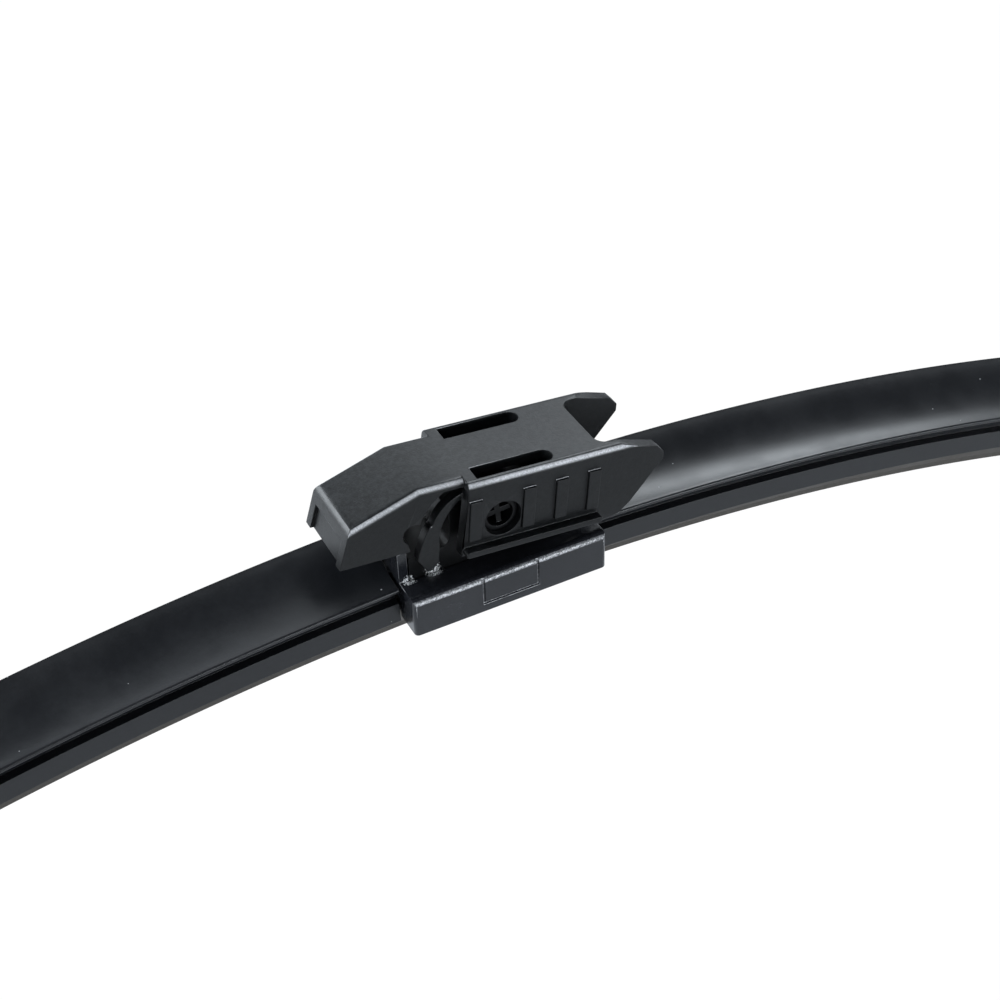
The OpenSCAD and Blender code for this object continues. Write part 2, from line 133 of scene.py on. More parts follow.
def edit(piece: bpy.types.Object, selected: bool = False) -> None:
    """Opens a piece in edit mode, by its points.

    Args:
        piece: the piece to shape.
        selected: whether all of it is selected there, or nothing.
    """
    select_only(piece)
    bpy.ops.object.mode_set(mode="EDIT")
    bpy.ops.mesh.select_mode(type="VERT")
    bpy.ops.mesh.select_all(action="SELECT" if selected else "DESELECT")


def close_edit() -> None:
    """Goes back to object mode."""
    bpy.ops.object.mode_set(mode="OBJECT")


def drop_points(piece: bpy.types.Object, wanted: Callable[[Vector], bool]) -> None:
    """Dissolves the points of a piece that lie where they should not.

    Args:
        piece: the piece.
        wanted: is given a point in millimetres, and says whether it goes.
    """
    edit(piece)
    close_edit()
    for point in piece.data.vertices:
        point.select = wanted(point.co / MM)
    if any(point.select for point in piece.data.vertices):
        bpy.ops.object.mode_set(mode="EDIT")
        bpy.ops.mesh.dissolve_verts()
        close_edit()


def refined_copy(node: str, name: str) -> bpy.types.Object:
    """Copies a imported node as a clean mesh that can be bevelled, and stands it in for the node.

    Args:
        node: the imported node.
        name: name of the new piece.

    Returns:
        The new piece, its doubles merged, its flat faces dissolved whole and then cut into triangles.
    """
    source = frame["nodes"][node]
    select_only(source)
    bpy.ops.object.duplicate()
    piece = bpy.context.active_object
    piece.name = name
    piece.data.name = name
    piece.parent = None
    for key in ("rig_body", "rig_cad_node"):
        del piece[key]
    piece.data.materials.clear()
    edit(piece, selected=True)
    bpy.ops.mesh.customdata_custom_splitnormals_clear()
    bpy.ops.mesh.remove_doubles(threshold=MERGE_METRES)
    bpy.ops.mesh.dissolve_limited(angle_limit=math.radians(FLAT_DEGREES))
    bpy.ops.mesh.quads_convert_to_tris(quad_method="BEAUTY", ngon_method="BEAUTY")
    close_edit()
    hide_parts(node)
    return piece


def soften(piece: bpy.types.Object, width: float, segments: int = 2, angle: float = 35.0) -> None:
    """Rounds the sharp edges of a piece, and shades it smooth between them.

    Args:
        piece: the piece.
        width: width of the rounding, in millimetres.
        segments: faces across the rounding.
        angle: edges sharper than this are rounded, in degrees.
    """
    select_only(piece)
    bevel = piece.modifiers.new("Edges", "BEVEL")
    bevel.width = width * MM
    bevel.segments = segments
    bevel.limit_method = "ANGLE"
    bevel.angle_limit = math.radians(angle)
    bevel.use_clamp_overlap = False
    bevel.harden_normals = False
    bevel.loop_slide = False
    bpy.ops.object.modifier_apply(modifier=bevel.name)
    bpy.ops.object.shade_smooth_by_angle(angle=math.radians(angle))
    weights = piece.modifiers.new("Flat faces stay flat", "WEIGHTED_NORMAL")
    weights.keep_sharp = True
    bpy.ops.object.modifier_apply(modifier=weights.name)


def outline_face(name: str, corners: Sequence[Vector]) -> bpy.types.Object:
    """Draws a closed outline by extruding one vertex from corner to corner, and fills it.

    Args:
        name: name of the new piece.
        corners: the outline, in millimetres.

    Returns:
        A piece with one flat face.
    """
    select_only()
    bpy.ops.mesh.primitive_plane_add(size=MM, location=(0, 0, 0))
    piece = bpy.context.active_object
    piece.name = name
    piece.data.name = name
    edit(piece, selected=True)
    bpy.ops.mesh.merge(type="CENTER")
    bpy.ops.transform.translate(value=corners[0] * MM)
    for before, corner in zip(corners, corners[1:]):
        bpy.ops.mesh.extrude_region_move(TRANSFORM_OT_translate={"value": (corner - before) * MM})
    bpy.ops.mesh.select_all(action="SELECT")
    bpy.ops.mesh.edge_face_add()
    close_edit()
    return piece


def arc(centre: Point, radius: float, start: float, end: float, steps: int) -> list[Point]:
    """Gives points along a circle, from one angle to another in degrees, both included."""
    angles = (math.radians(start + (end - start) * i / steps) for i in range(steps + 1))
    return [(centre[0] + radius * math.cos(a), centre[1] + radius * math.sin(a)) for a in angles]


# Shader nodes and shared groups


class Nodes:
    """A node tree, with short ways to add the nodes that groups and finishes are made of."""

    def __init__(self, tree: bpy.types.NodeTree) -> None:
        """Keeps the tree that the nodes go into."""
        self.tree = tree

    def add(self, kind: str) -> bpy.types.Node:
        """Adds a node of one kind."""
        return self.tree.nodes.new(kind)

    def feed(self, socket: Socket, value: Value) -> None:
        """Gives an input its value.

        Args:
            socket: the input.
            value: what is set on it, or the socket that is linked to it.
        """
        if isinstance(value, Socket):
            self.tree.links.new(value, socket)
        else:
            socket.default_value = value

    def given(self, label: str) -> Socket:
        """Gives one of the group's own inputs."""
        return self.tree.nodes["In"].outputs[label]

    def give(self, label: str, value: Socket) -> None:
        """Sends a value to one of the group's own outputs."""
        self.feed(self.tree.nodes["Out"].inputs[label], value)

    def coordinates(self) -> bpy.types.bpy_prop_collection:
        """Adds the object's own coordinates, and gives their sockets."""
        return self.add("ShaderNodeTexCoord").outputs

    def split(self, vector: Socket) -> bpy.types.bpy_prop_collection:
        """Takes a vector apart.

        Args:
            vector: the socket that gives it.

        Returns:
            The sockets X, Y and Z.
        """
        node = self.add("ShaderNodeSeparateXYZ")
        self.feed(node.inputs[0], vector)
        return node.outputs

    def noise(self, where: Socket, scale: Value, detail: float, rough: float = 0.5) -> Socket:
        """Adds a noise texture.

        Args:
            where: the socket that gives the coordinates.
            scale: how fine it is, in cells to the metre.
            detail: octaves of the noise.
            rough: weight of the finer octaves.

        Returns:
            The noise's value.
        """
        node = self.add("ShaderNodeTexNoise")
        for label, value in (("Vector", where), ("Scale", scale), ("Detail", detail), ("Roughness", rough)):
            self.feed(node.inputs[label], value)
        return node.outputs["Fac"]

    def remap(self, value: Socket, span: Span, result: Span = (0.0, 1.0), smooth: bool = True) -> Socket:
        """Maps a value from one range to another, and keeps it inside.

        Args:
            value: the value.
            span: where the range begins and ends.
            result: what the two ends become.
            smooth: whether the ends are eased.

        Returns:
            The mapped value.
        """
        node = self.add("ShaderNodeMapRange")
        node.interpolation_type = "SMOOTHSTEP" if smooth else "LINEAR"
        self.feed(node.inputs["Value"], value)
        for label, number in zip(("From Min", "From Max", "To Min", "To Max"), (*span, *result)):
            self.feed(node.inputs[label], number)
        return node.outputs["Result"]

    def math(self, operation: str, *terms: Value) -> Socket:
        """Works with numbers.

        Args:
            operation: what is done with them.
            terms: the numbers, or the sockets that give them.

        Returns:
            The result.
        """
        node = self.add("ShaderNodeMath")
        node.operation = operation
        for socket, term in zip(node.inputs, terms):
            self.feed(socket, term)
        return node.outputs[0]

    def mix(self, blend: Blend, mask: Value, under: Value, over: Value) -> Socket:
        """Lays one value or colour over another.

        Args:
            blend: which of the two kinds it is.
            mask: where the second one shows, from 0 to 1.
            under: the first one.
            over: the second one.

        Returns:
            The mixed value or colour.
        """
        kind, first, second, result = blend.value
        node = self.add("ShaderNodeMix")
        node.data_type = kind
        self.feed(node.inputs[0], mask)
        self.feed(node.inputs[first], under)
        self.feed(node.inputs[second], over)
        return node.outputs[result]

    def bump(self, height: Socket, depth: float, normal: Socket | None = None) -> Socket:
        """Turns a height into a bumpy normal.

        Args:
            height: the height, from 0 to 1.
            depth: what a height of 1 stands for, in millimetres.
            normal: the normal that it starts from, if not the plain one.

        Returns:
            The new normal.
        """
        node = self.add("ShaderNodeBump")
        self.feed(node.inputs["Distance"], depth * MM)
        self.feed(node.inputs["Height"], height)
        if normal is not None:
            self.feed(node.inputs["Normal"], normal)
        return node.outputs[0]

    def place(self, group: bpy.types.NodeTree, **values: float) -> bpy.types.bpy_prop_collection:
        """Puts a shared group in the tree.

        Args:
            group: the group.
            values: its own values here, by the names of its inputs.

        Returns:
            The group's output sockets.
        """
        node = self.add("ShaderNodeGroup")
        node.node_tree = group
        for label, value in values.items():
            self.feed(node.inputs[label], value)
        return node.outputs

    def show(self, mask: Socket, under: Socket, over: Socket, output: bpy.types.Node) -> None:
        """Mixes two shaders for the tree's surface.

        Args:
            mask: where the second one shows, from 0 to 1.
            under: the first shader.
            over: the second shader.
            output: the tree's output node.
        """
        node = self.add("ShaderNodeMixShader")
        for socket, value in zip(node.inputs, (mask, under, over)):
            self.feed(socket, value)
        self.feed(output.inputs["Surface"], node.outputs[0])


class ShaderGroups:
    """The effects that several finishes share, each built once as a node group.

    The spans say between which values of a noise, or of a normal's part, an effect sets in.
    """

    MOTTLE: ClassVar[Span] = (0.36, 0.66)
    DUST_CELLS: ClassVar[float] = 420.0
    DUST_PATCHES: ClassVar[Span] = (0.45, 0.75)
    DUST_SIZES: ClassVar[Span] = (0.0, 0.09)
    DUST_RIM: ClassVar[Span] = (0.0, 0.02)
    SMEARS: ClassVar[Span] = (0.35, 0.70)
    STREAK_STRETCH: ClassVar[float] = 0.02
    # These shape the pale edge colour, which is partly polish and partly a painted highlight.
    WEAR_HIGHLIGHT_EASE_ACROSS: ClassVar[float] = 0.35
    WEAR_HIGHLIGHT_EASE_UP: ClassVar[float] = 0.30
    WEAR_HIGHLIGHT_GRIT: ClassVar[Span] = (0.38, 0.62)
    HANDLING: ClassVar[Span] = (0.38, 0.58)
    HANDLING_SHARES: ClassVar[Span] = (0.75, 1.0)
    LOOKS_UP: ClassVar[Span] = (0.30, 0.80)
    GLINT_SPOTS: ClassVar[tuple[tuple[Place, float], ...]] = (
        ((-9.7, -4.6, -8.0), 2.0),
        ((-13.7, -4.6, -8.3), 1.5),
    )
    GLINT_CORE: ClassVar[float] = 0.35
    GLINT_FRONT: ClassVar[Span] = (-5.2 * MM, -5.1 * MM)
    GLINT_LEVEL: ClassVar[float] = 0.69
    GLINT_DROP: ClassVar[float] = -0.20
    GLINT_RIM: ClassVar[Span] = (0.0, 0.05)

    def __init__(self) -> None:
        """Builds all the groups."""
        self.grain = self._grain()
        self.marks = self._marks()
        self.streaks = self._streaks()
        self.wear = self._wear_and_painted_highlight()
        self.glints = self._glints()

    @staticmethod
    def _new(name: str, inputs: dict[str, float], outputs: Iterable[str]) -> Nodes:
        """Starts a group with float inputs and outputs.

        Args:
            name: name of the group.
            inputs: name and default of each input.
            outputs: names of the outputs.

        Returns:
            The new group, with its input and output nodes.
        """
        tree = bpy.data.node_groups.new(name, "ShaderNodeTree")
        for label, default in inputs.items():
            socket = tree.interface.new_socket(label, in_out="INPUT", socket_type="NodeSocketFloat")
            socket.default_value = default
        for label in outputs:
            tree.interface.new_socket(label, in_out="OUTPUT", socket_type="NodeSocketFloat")
        tree.nodes.new("NodeGroupInput").name = "In"
        tree.nodes.new("NodeGroupOutput").name = "Out"
        return Nodes(tree)

    def _grain(self) -> bpy.types.NodeTree:
        """Makes the fine grain of a moulding tool, with a slower waviness under it.

        Returns:
            The group, which gives a height and a mottled mask.
        """
        nodes = self._new("Moulded grain", {"Scale": 5000.0, "Waviness": 0.3}, ("Height", "Mottle"))
        where = nodes.coordinates()["Object"]
        fine = nodes.noise(where, scale=nodes.given("Scale"), detail=3.0, rough=0.6)
        wide = nodes.noise(where, scale=160.0, detail=2.0)
        nodes.give("Height", nodes.math("ADD", fine, nodes.math("MULTIPLY", wide, nodes.given("Waviness"))))
        mottle = nodes.noise(where, scale=1300.0, detail=3.0, rough=0.75)
        nodes.give("Mottle", nodes.remap(mottle, self.MOTTLE))
        return nodes.tree

    def _marks(self) -> bpy.types.NodeTree:
        """Makes specks of dust, and the soft smears that handling leaves.

        Returns:
            The group, which gives a mask for each.
        """
        nodes = self._new("Dust and smears", {"Specks": 0.5}, ("Dust", "Smear"))
        where = nodes.coordinates()["Object"]
        cells = nodes.add("ShaderNodeTexVoronoi")
        nodes.feed(cells.inputs["Scale"], self.DUST_CELLS)
        nodes.feed(cells.inputs["Vector"], where)
        patchy = nodes.noise(where, scale=52.0, detail=1.0)
        size = nodes.remap(patchy, self.DUST_PATCHES, self.DUST_SIZES)
        size = nodes.math("MULTIPLY", size, nodes.given("Specks"))
        near = nodes.math("SUBTRACT", size, cells.outputs["Distance"])
        nodes.give("Dust", nodes.remap(near, self.DUST_RIM))
        smear = nodes.noise(where, scale=95.0, detail=4.0, rough=0.65)
        nodes.give("Smear", nodes.remap(smear, self.SMEARS))
        return nodes.tree

    def _streaks(self) -> bpy.types.NodeTree:
        """Makes the faint lines that an extrusion die draws along the curved blade.

        Returns:
            The group, which gives a height. Its Radius is the blade's curve, in metres.
        """
        nodes = self._new("Die streaks", {"Lines": 900.0, "Radius": 0.44}, ("Height",))
        at = nodes.split(nodes.coordinates()["Object"])
        level = nodes.math("ADD", at["Z"], nodes.given("Radius"))
        square_x = nodes.math("MULTIPLY", at["X"], at["X"])
        square_z = nodes.math("MULTIPLY", level, level)
        out = nodes.math("SQRT", nodes.math("ADD", square_x, square_z))
        height = nodes.math("SUBTRACT", out, nodes.given("Radius"))
        along = nodes.math("MULTIPLY", at["X"], self.STREAK_STRETCH)
        join = nodes.add("ShaderNodeCombineXYZ")
        for socket, value in zip(join.inputs, (along, at["Y"], height)):
            nodes.feed(socket, value)
        nodes.give("Height", nodes.noise(join.outputs[0], scale=nodes.given("Lines"), detail=2.0))
        return nodes.tree

    def _wear_and_painted_highlight(self) -> bpy.types.NodeTree:
        """Makes the polish of the long rounded edges that face across and up, with a pale colour there that
        is partly polish from handling and partly a painted highlight.

        Returns:
            The group, which gives the mask of that polish and painted highlight, and the share of a face
            that looks up, which the finishes use to paint the sides darker than the tops.
        """
        nodes = self._new("Edge wear", {"Across": 0.30, "Up": 0.20, "Smooth": 0.5}, ("Wear", "Upward"))
        where = nodes.coordinates()
        normal = nodes.split(where["Normal"])
        across = nodes.given("Across")
        up = nodes.given("Up")
        full_across = nodes.math("ADD", across, self.WEAR_HIGHLIGHT_EASE_ACROSS)
        full_up = nodes.math("ADD", up, self.WEAR_HIGHLIGHT_EASE_UP)
        sideways = nodes.remap(nodes.math("ABSOLUTE", normal["Y"]), (across, full_across))
        upwards = nodes.remap(normal["Z"], (up, full_up))
        rounded = nodes.math("MULTIPLY", sideways, upwards)
        grit = nodes.noise(where["Object"], scale=4200.0, detail=2.0, rough=0.6)
        broken = nodes.remap(grit, self.WEAR_HIGHLIGHT_GRIT, (nodes.given("Smooth"), 1.0))
        handling = nodes.noise(where["Object"], scale=75.0, detail=1.0)
        patchy = nodes.remap(handling, self.HANDLING, self.HANDLING_SHARES)
        nodes.give("Wear", nodes.math("MULTIPLY", rounded, nodes.math("MULTIPLY", broken, patchy)))
        nodes.give("Upward", nodes.remap(normal["Z"], self.LOOKS_UP))
        return nodes.tree

    def _glints(self) -> bpy.types.NodeTree:
        """Makes painted glints: a bright gritty flash, painted in near-white, along the seam of shelf and
        upstand, by the near leg's foot.

        Returns:
            The group, which gives a mask.
        """
        nodes = self._new("Seam glints", {"Fineness": 4300.0}, ("Glint",))
        where = nodes.coordinates()["Object"]
        shares = []
        for spot, reach in self.GLINT_SPOTS:
            gap = nodes.add("ShaderNodeVectorMath")
            gap.operation = "DISTANCE"
            nodes.feed(gap.inputs[0], where)
            nodes.feed(gap.inputs[1], Vector(spot) * MM)
            shares.append(nodes.remap(gap.outputs["Value"], (reach * MM, self.GLINT_CORE * reach * MM)))
        near = nodes.math("MAXIMUM", *shares)
        inside = nodes.remap(nodes.split(where)["Y"], self.GLINT_FRONT)
        grit = nodes.noise(where, scale=nodes.given("Fineness"), detail=1.0)
        level = nodes.math("MULTIPLY_ADD", near, self.GLINT_DROP, self.GLINT_LEVEL)
        sparkle = nodes.remap(nodes.math("SUBTRACT", grit, level), self.GLINT_RIM)
        nodes.give("Glint", nodes.math("MULTIPLY", nodes.math("MULTIPLY", sparkle, near), inside))
        return nodes.tree


# Finishes


@dataclass(frozen=True)
class Finish:
    """A black moulded or extruded surface, with grain, smears and dust, a pale edge colour that is partly
    polish and partly a painted highlight, sides painted darker than the tops, and painted glints.

    The colours are linear, the heights are in millimetres, and the grain's scale is in cells to the metre.
    The pale edge colour, partly polish and partly a painted highlight, goes where the normal leans further
    across and up than its two given thresholds.
    """

    name: str
    slot: str
    colour: Colour
    pale: Colour
    roughness: float
    rough_spread: float
    grain_scale: float
    grain_height: float
    waviness: float = 0.3
    specks: float = 0.0
    streak_height: float = 0.0
    specular: float = 0.5
    metallic: float = 0.0
    mottle: float = 0.5
    worn_and_painted_highlight: float = 0.0
    worn_roughness: float = 0.25
    wear_highlight_across: float = 0.30
    wear_highlight_up: float = 0.20
    wear_highlight_smooth: float = 0.65
    shaded_side_paleness: float = 1.0
    glints: bool = False

    WEAR_HIGHLIGHT_BLUE: ClassVar[float] = 1.03
    DUST: ClassVar[Colour] = (0.45, 0.46, 0.47)
    FLASH: ClassVar[Colour] = (0.90, 0.91, 0.92)

    def build(self, groups: ShaderGroups) -> bpy.types.Material:
        """Makes the material.

        Args:
            groups: the shared effects.

        Returns:
            The material, ready to be put on a piece.
        """
        material = bpy.data.materials.new(self.name)
        material.use_nodes = True
        nodes = Nodes(material.node_tree)
        nodes.tree.nodes.clear()
        output = nodes.add("ShaderNodeOutputMaterial")
        shader = nodes.add("ShaderNodeBsdfPrincipled")
        nodes.feed(output.inputs["Surface"], shader.outputs[0])
        nodes.feed(shader.inputs["Metallic"], self.metallic)
        nodes.feed(shader.inputs["Specular IOR Level"], self.specular)
        grain = nodes.place(groups.grain, Scale=self.grain_scale, Waviness=self.waviness)
        marks = nodes.place(groups.marks, Specks=self.specks)
        wear = nodes.place(groups.wear, Across=self.wear_highlight_across, Up=self.wear_highlight_up, Smooth=self.wear_highlight_smooth)

        share = nodes.mix(Blend.FLOAT, self.mottle, marks["Smear"], grain["Mottle"])
        # Painted shade: faces that look sideways get only part of the pale mottle, so the tops read lighter
        # than the sides.
        painted_top_light = nodes.remap(wear["Upward"], (0.0, 1.0), (self.shaded_side_paleness, 1.0), smooth=False)
        mottle_and_top_light = nodes.math("MULTIPLY", share, painted_top_light)
        colour = nodes.mix(Blend.COLOUR, mottle_and_top_light, (*self.colour, 1.0), (*self.pale, 1.0))
        span = (self.roughness - self.rough_spread, self.roughness + self.rough_spread)
        roughness = nodes.remap(marks["Smear"], (0.0, 1.0), span, smooth=False)
        # Painted highlight: rounded edges that face across and up get a pale, smoother colour, which is
        # partly polish from handling.
        if self.worn_and_painted_highlight:
            bare_and_highlight = (self.worn_and_painted_highlight, self.worn_and_painted_highlight, self.worn_and_painted_highlight * self.WEAR_HIGHLIGHT_BLUE)
            colour = self._over(nodes, colour, bare_and_highlight, wear["Wear"])
            roughness = nodes.mix(Blend.FLOAT, wear["Wear"], roughness, self.worn_roughness)
        if self.specks:
            colour = self._over(nodes, colour, self.DUST, marks["Dust"])
        # Painted glints: a near-white colour along the seam stands in for flashes of light.
        if self.glints:
            colour = self._over(nodes, colour, self.FLASH, nodes.place(groups.glints)["Glint"])
        nodes.feed(shader.inputs["Base Color"], colour)
        nodes.feed(shader.inputs["Roughness"], roughness)

        normal = nodes.bump(grain["Height"], self.grain_height)
        if self.streak_height:
            normal = nodes.bump(nodes.place(groups.streaks)["Height"], self.streak_height, normal)
        nodes.feed(shader.inputs["Normal"], normal)
        return material

    @staticmethod
    def _over(nodes: Nodes, under: Socket, colour: Colour, mask: Socket) -> Socket:
        """Lays a plain colour over another where a mask says so."""
        return nodes.mix(Blend.COLOUR, mask, under, (*colour, 1.0))


@dataclass
class Finishes:
    """All the finishes of the wiper blade, each made when the first piece needs it."""

    groups: ShaderGroups
    made: dict[str, bpy.types.Material] = field(default_factory=dict)

    # The adapter's pale edge colour is partly polish and partly a painted highlight on the top fillets, and
    # its sides are painted darker than its tops.
    ADAPTER: ClassVar[Finish] = Finish(
        "Adapter plastic", "adapter_plastic", (0.0024, 0.0028, 0.0032), (0.0148, 0.0158, 0.0172),
        roughness=0.36, rough_spread=0.05, grain_scale=3600.0, grain_height=0.020, waviness=0.5,
        specks=0.4, specular=0.30, mottle=0.75, worn_and_painted_highlight=0.82, wear_highlight_across=0.38, wear_highlight_up=0.32,
        shaded_side_paleness=0.30,
    )
    # The cover's pale edge colour is a painted highlight along the shelf's rounded edge, and is partly
    # polish.
    COVER: ClassVar[Finish] = Finish(
        "Cover plastic", "cover_plastic", (0.0090, 0.0098, 0.0124), (0.0180, 0.0190, 0.0230),
        roughness=0.20, rough_spread=0.05, grain_scale=2600.0, grain_height=0.003, waviness=1.2,
        specks=0.4, worn_and_painted_highlight=0.95, worn_roughness=0.16, wear_highlight_across=0.62, wear_highlight_up=0.02, wear_highlight_smooth=0.25,
        glints=True,
    )
    CARRIER: ClassVar[Finish] = Finish(
        "Carrier plastic", "carrier_plastic", (0.0022, 0.0022, 0.0025), (0.0036, 0.0036, 0.0040),
        roughness=0.42, rough_spread=0.08, grain_scale=3600.0, grain_height=0.008, specks=0.3,
        specular=0.22, glints=True,
    )
    AXLE: ClassVar[Finish] = Finish(
        "Axle plastic", "axle_plastic", (0.0016, 0.0017, 0.0019), (0.0030, 0.0031, 0.0034),
        roughness=0.36, rough_spread=0.05, grain_scale=4200.0, grain_height=0.006, specular=0.20,
    )
    STEEL: ClassVar[Finish] = Finish(
        "Coated spring steel", "spring_steel", (0.016, 0.016, 0.017), (0.026, 0.026, 0.027),
        roughness=0.36, rough_spread=0.08, grain_scale=3000.0, grain_height=0.004,
        streak_height=0.004, metallic=0.2,
    )
    SPOILER: ClassVar[Finish] = Finish(
        "Spoiler rubber", "spoiler_rubber", (0.0052, 0.0058, 0.0076), (0.0082, 0.0091, 0.0114),
        roughness=0.40, rough_spread=0.05, grain_scale=3400.0, grain_height=0.004, waviness=0.4,
        specks=1.6, streak_height=0.003,
    )
    RUBBER: ClassVar[Finish] = Finish(
        "Wiping rubber", "wiping_rubber", (0.043, 0.038, 0.032), (0.060, 0.053, 0.045),
        roughness=0.55, rough_spread=0.08, grain_scale=4600.0, grain_height=0.008, specks=0.2,
        streak_height=0.008,
    )
    # The cap's pale edge colour is a faint painted highlight, and is partly polish.
    CAP: ClassVar[Finish] = Finish(
        "Cap plastic", "cap_plastic", (0.0060, 0.0062, 0.0070), (0.0090, 0.0094, 0.0104),
        roughness=0.42, rough_spread=0.06, grain_scale=4200.0, grain_height=0.010, specks=0.3,
        worn_and_painted_highlight=0.06,
    )

    def dress(self, piece: bpy.types.Object, finish: Finish) -> None:
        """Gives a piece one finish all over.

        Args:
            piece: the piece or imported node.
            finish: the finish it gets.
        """
        if finish.name not in self.made:
            self.made[finish.name] = finish.build(self.groups)
        piece.data.materials.clear()
        piece.data.materials.append(self.made[finish.name])


# Sub-assemblies


@dataclass
class Adapter:
    """The moulded adapter that clips to the arm, and pivots on the blade's axle.

    Above the pivot no point of it lies further out than half_width.
    """

    edge: float = 0.14
    half_width: float = 8.3

    def build(self, finishes: Finishes) -> None:
        """Makes the adapter with rounded edges.

        Args:
            finishes: the finishes of the blade.
        """
        piece = refined_copy("adapter", "adapter_moulding")
        soften(piece, self.edge)
        drop_points(piece, lambda at: abs(at.y) > self.half_width and at.z > 0)
        finishes.dress(piece, finishes.ADAPTER)
        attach(piece, Body.ADAPTER.value)
        log.info("adapter: %d faces", len(piece.data.polygons))


@dataclass
class CentreBase:
    """The glossy cover, the carrier under it, and the axle."""

    edge: float = 0.12

    def build(self, finishes: Finishes) -> None:
        """Makes the base's three pieces.

        Args:
            finishes: the finishes of the blade.
        """
        for node, name, finish in (
            ("base_cover", "cover_shell", finishes.COVER),
            ("base_carrier", "carrier_block", finishes.CARRIER),
            ("axle", "axle_pin", finishes.AXLE),
        ):
            piece = refined_copy(node, name)
            soften(piece, self.edge)
            finishes.dress(piece, finish)
            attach(piece, Body.BLADE.value)
            log.info("%s: %d faces", name, len(piece.data.polygons))


@dataclass
class BladeCurve:
    """The curve that springs, rubber and spoiler follow.

    Its highest point lies under the pivot by rise, and a swept piece has a face every step.
    """

    radius: float = 427.0
    rise: float = 13.1
    step: float = 2.0

    def sweep(self, name: str, section: Sequence[Point], start: float, end: float) -> bpy.types.Object:
        """Spins a closed section along the blade.

        Args:
            name: name of the new piece.
            section: points across and up from the springs' middle plane, in millimetres.
            start: where it begins, along the curve from the middle.
            end: where it ends.

        Returns:
            The swept piece, closed at both ends.
        """
        turn = Matrix.Rotation(start / self.radius, 4, "Y")
        centre = Vector((0.0, 0.0, -self.radius - self.rise))
        corners = [centre + turn @ Vector((0.0, y, self.radius + z)) for y, z in section]
        piece = outline_face(name, corners)
        edit(piece, selected=True)
        bpy.ops.mesh.spin(
            steps=round((end - start) / self.step),
            angle=(start - end) / self.radius,
            center=centre * MM,
            axis=(0.0, 1.0, 0.0),
        )
        bpy.ops.mesh.select_all(action="SELECT")
        bpy.ops.mesh.remove_doubles(threshold=MERGE_METRES)
        bpy.ops.mesh.normals_make_consistent(inside=False)
        close_edit()
        return piece


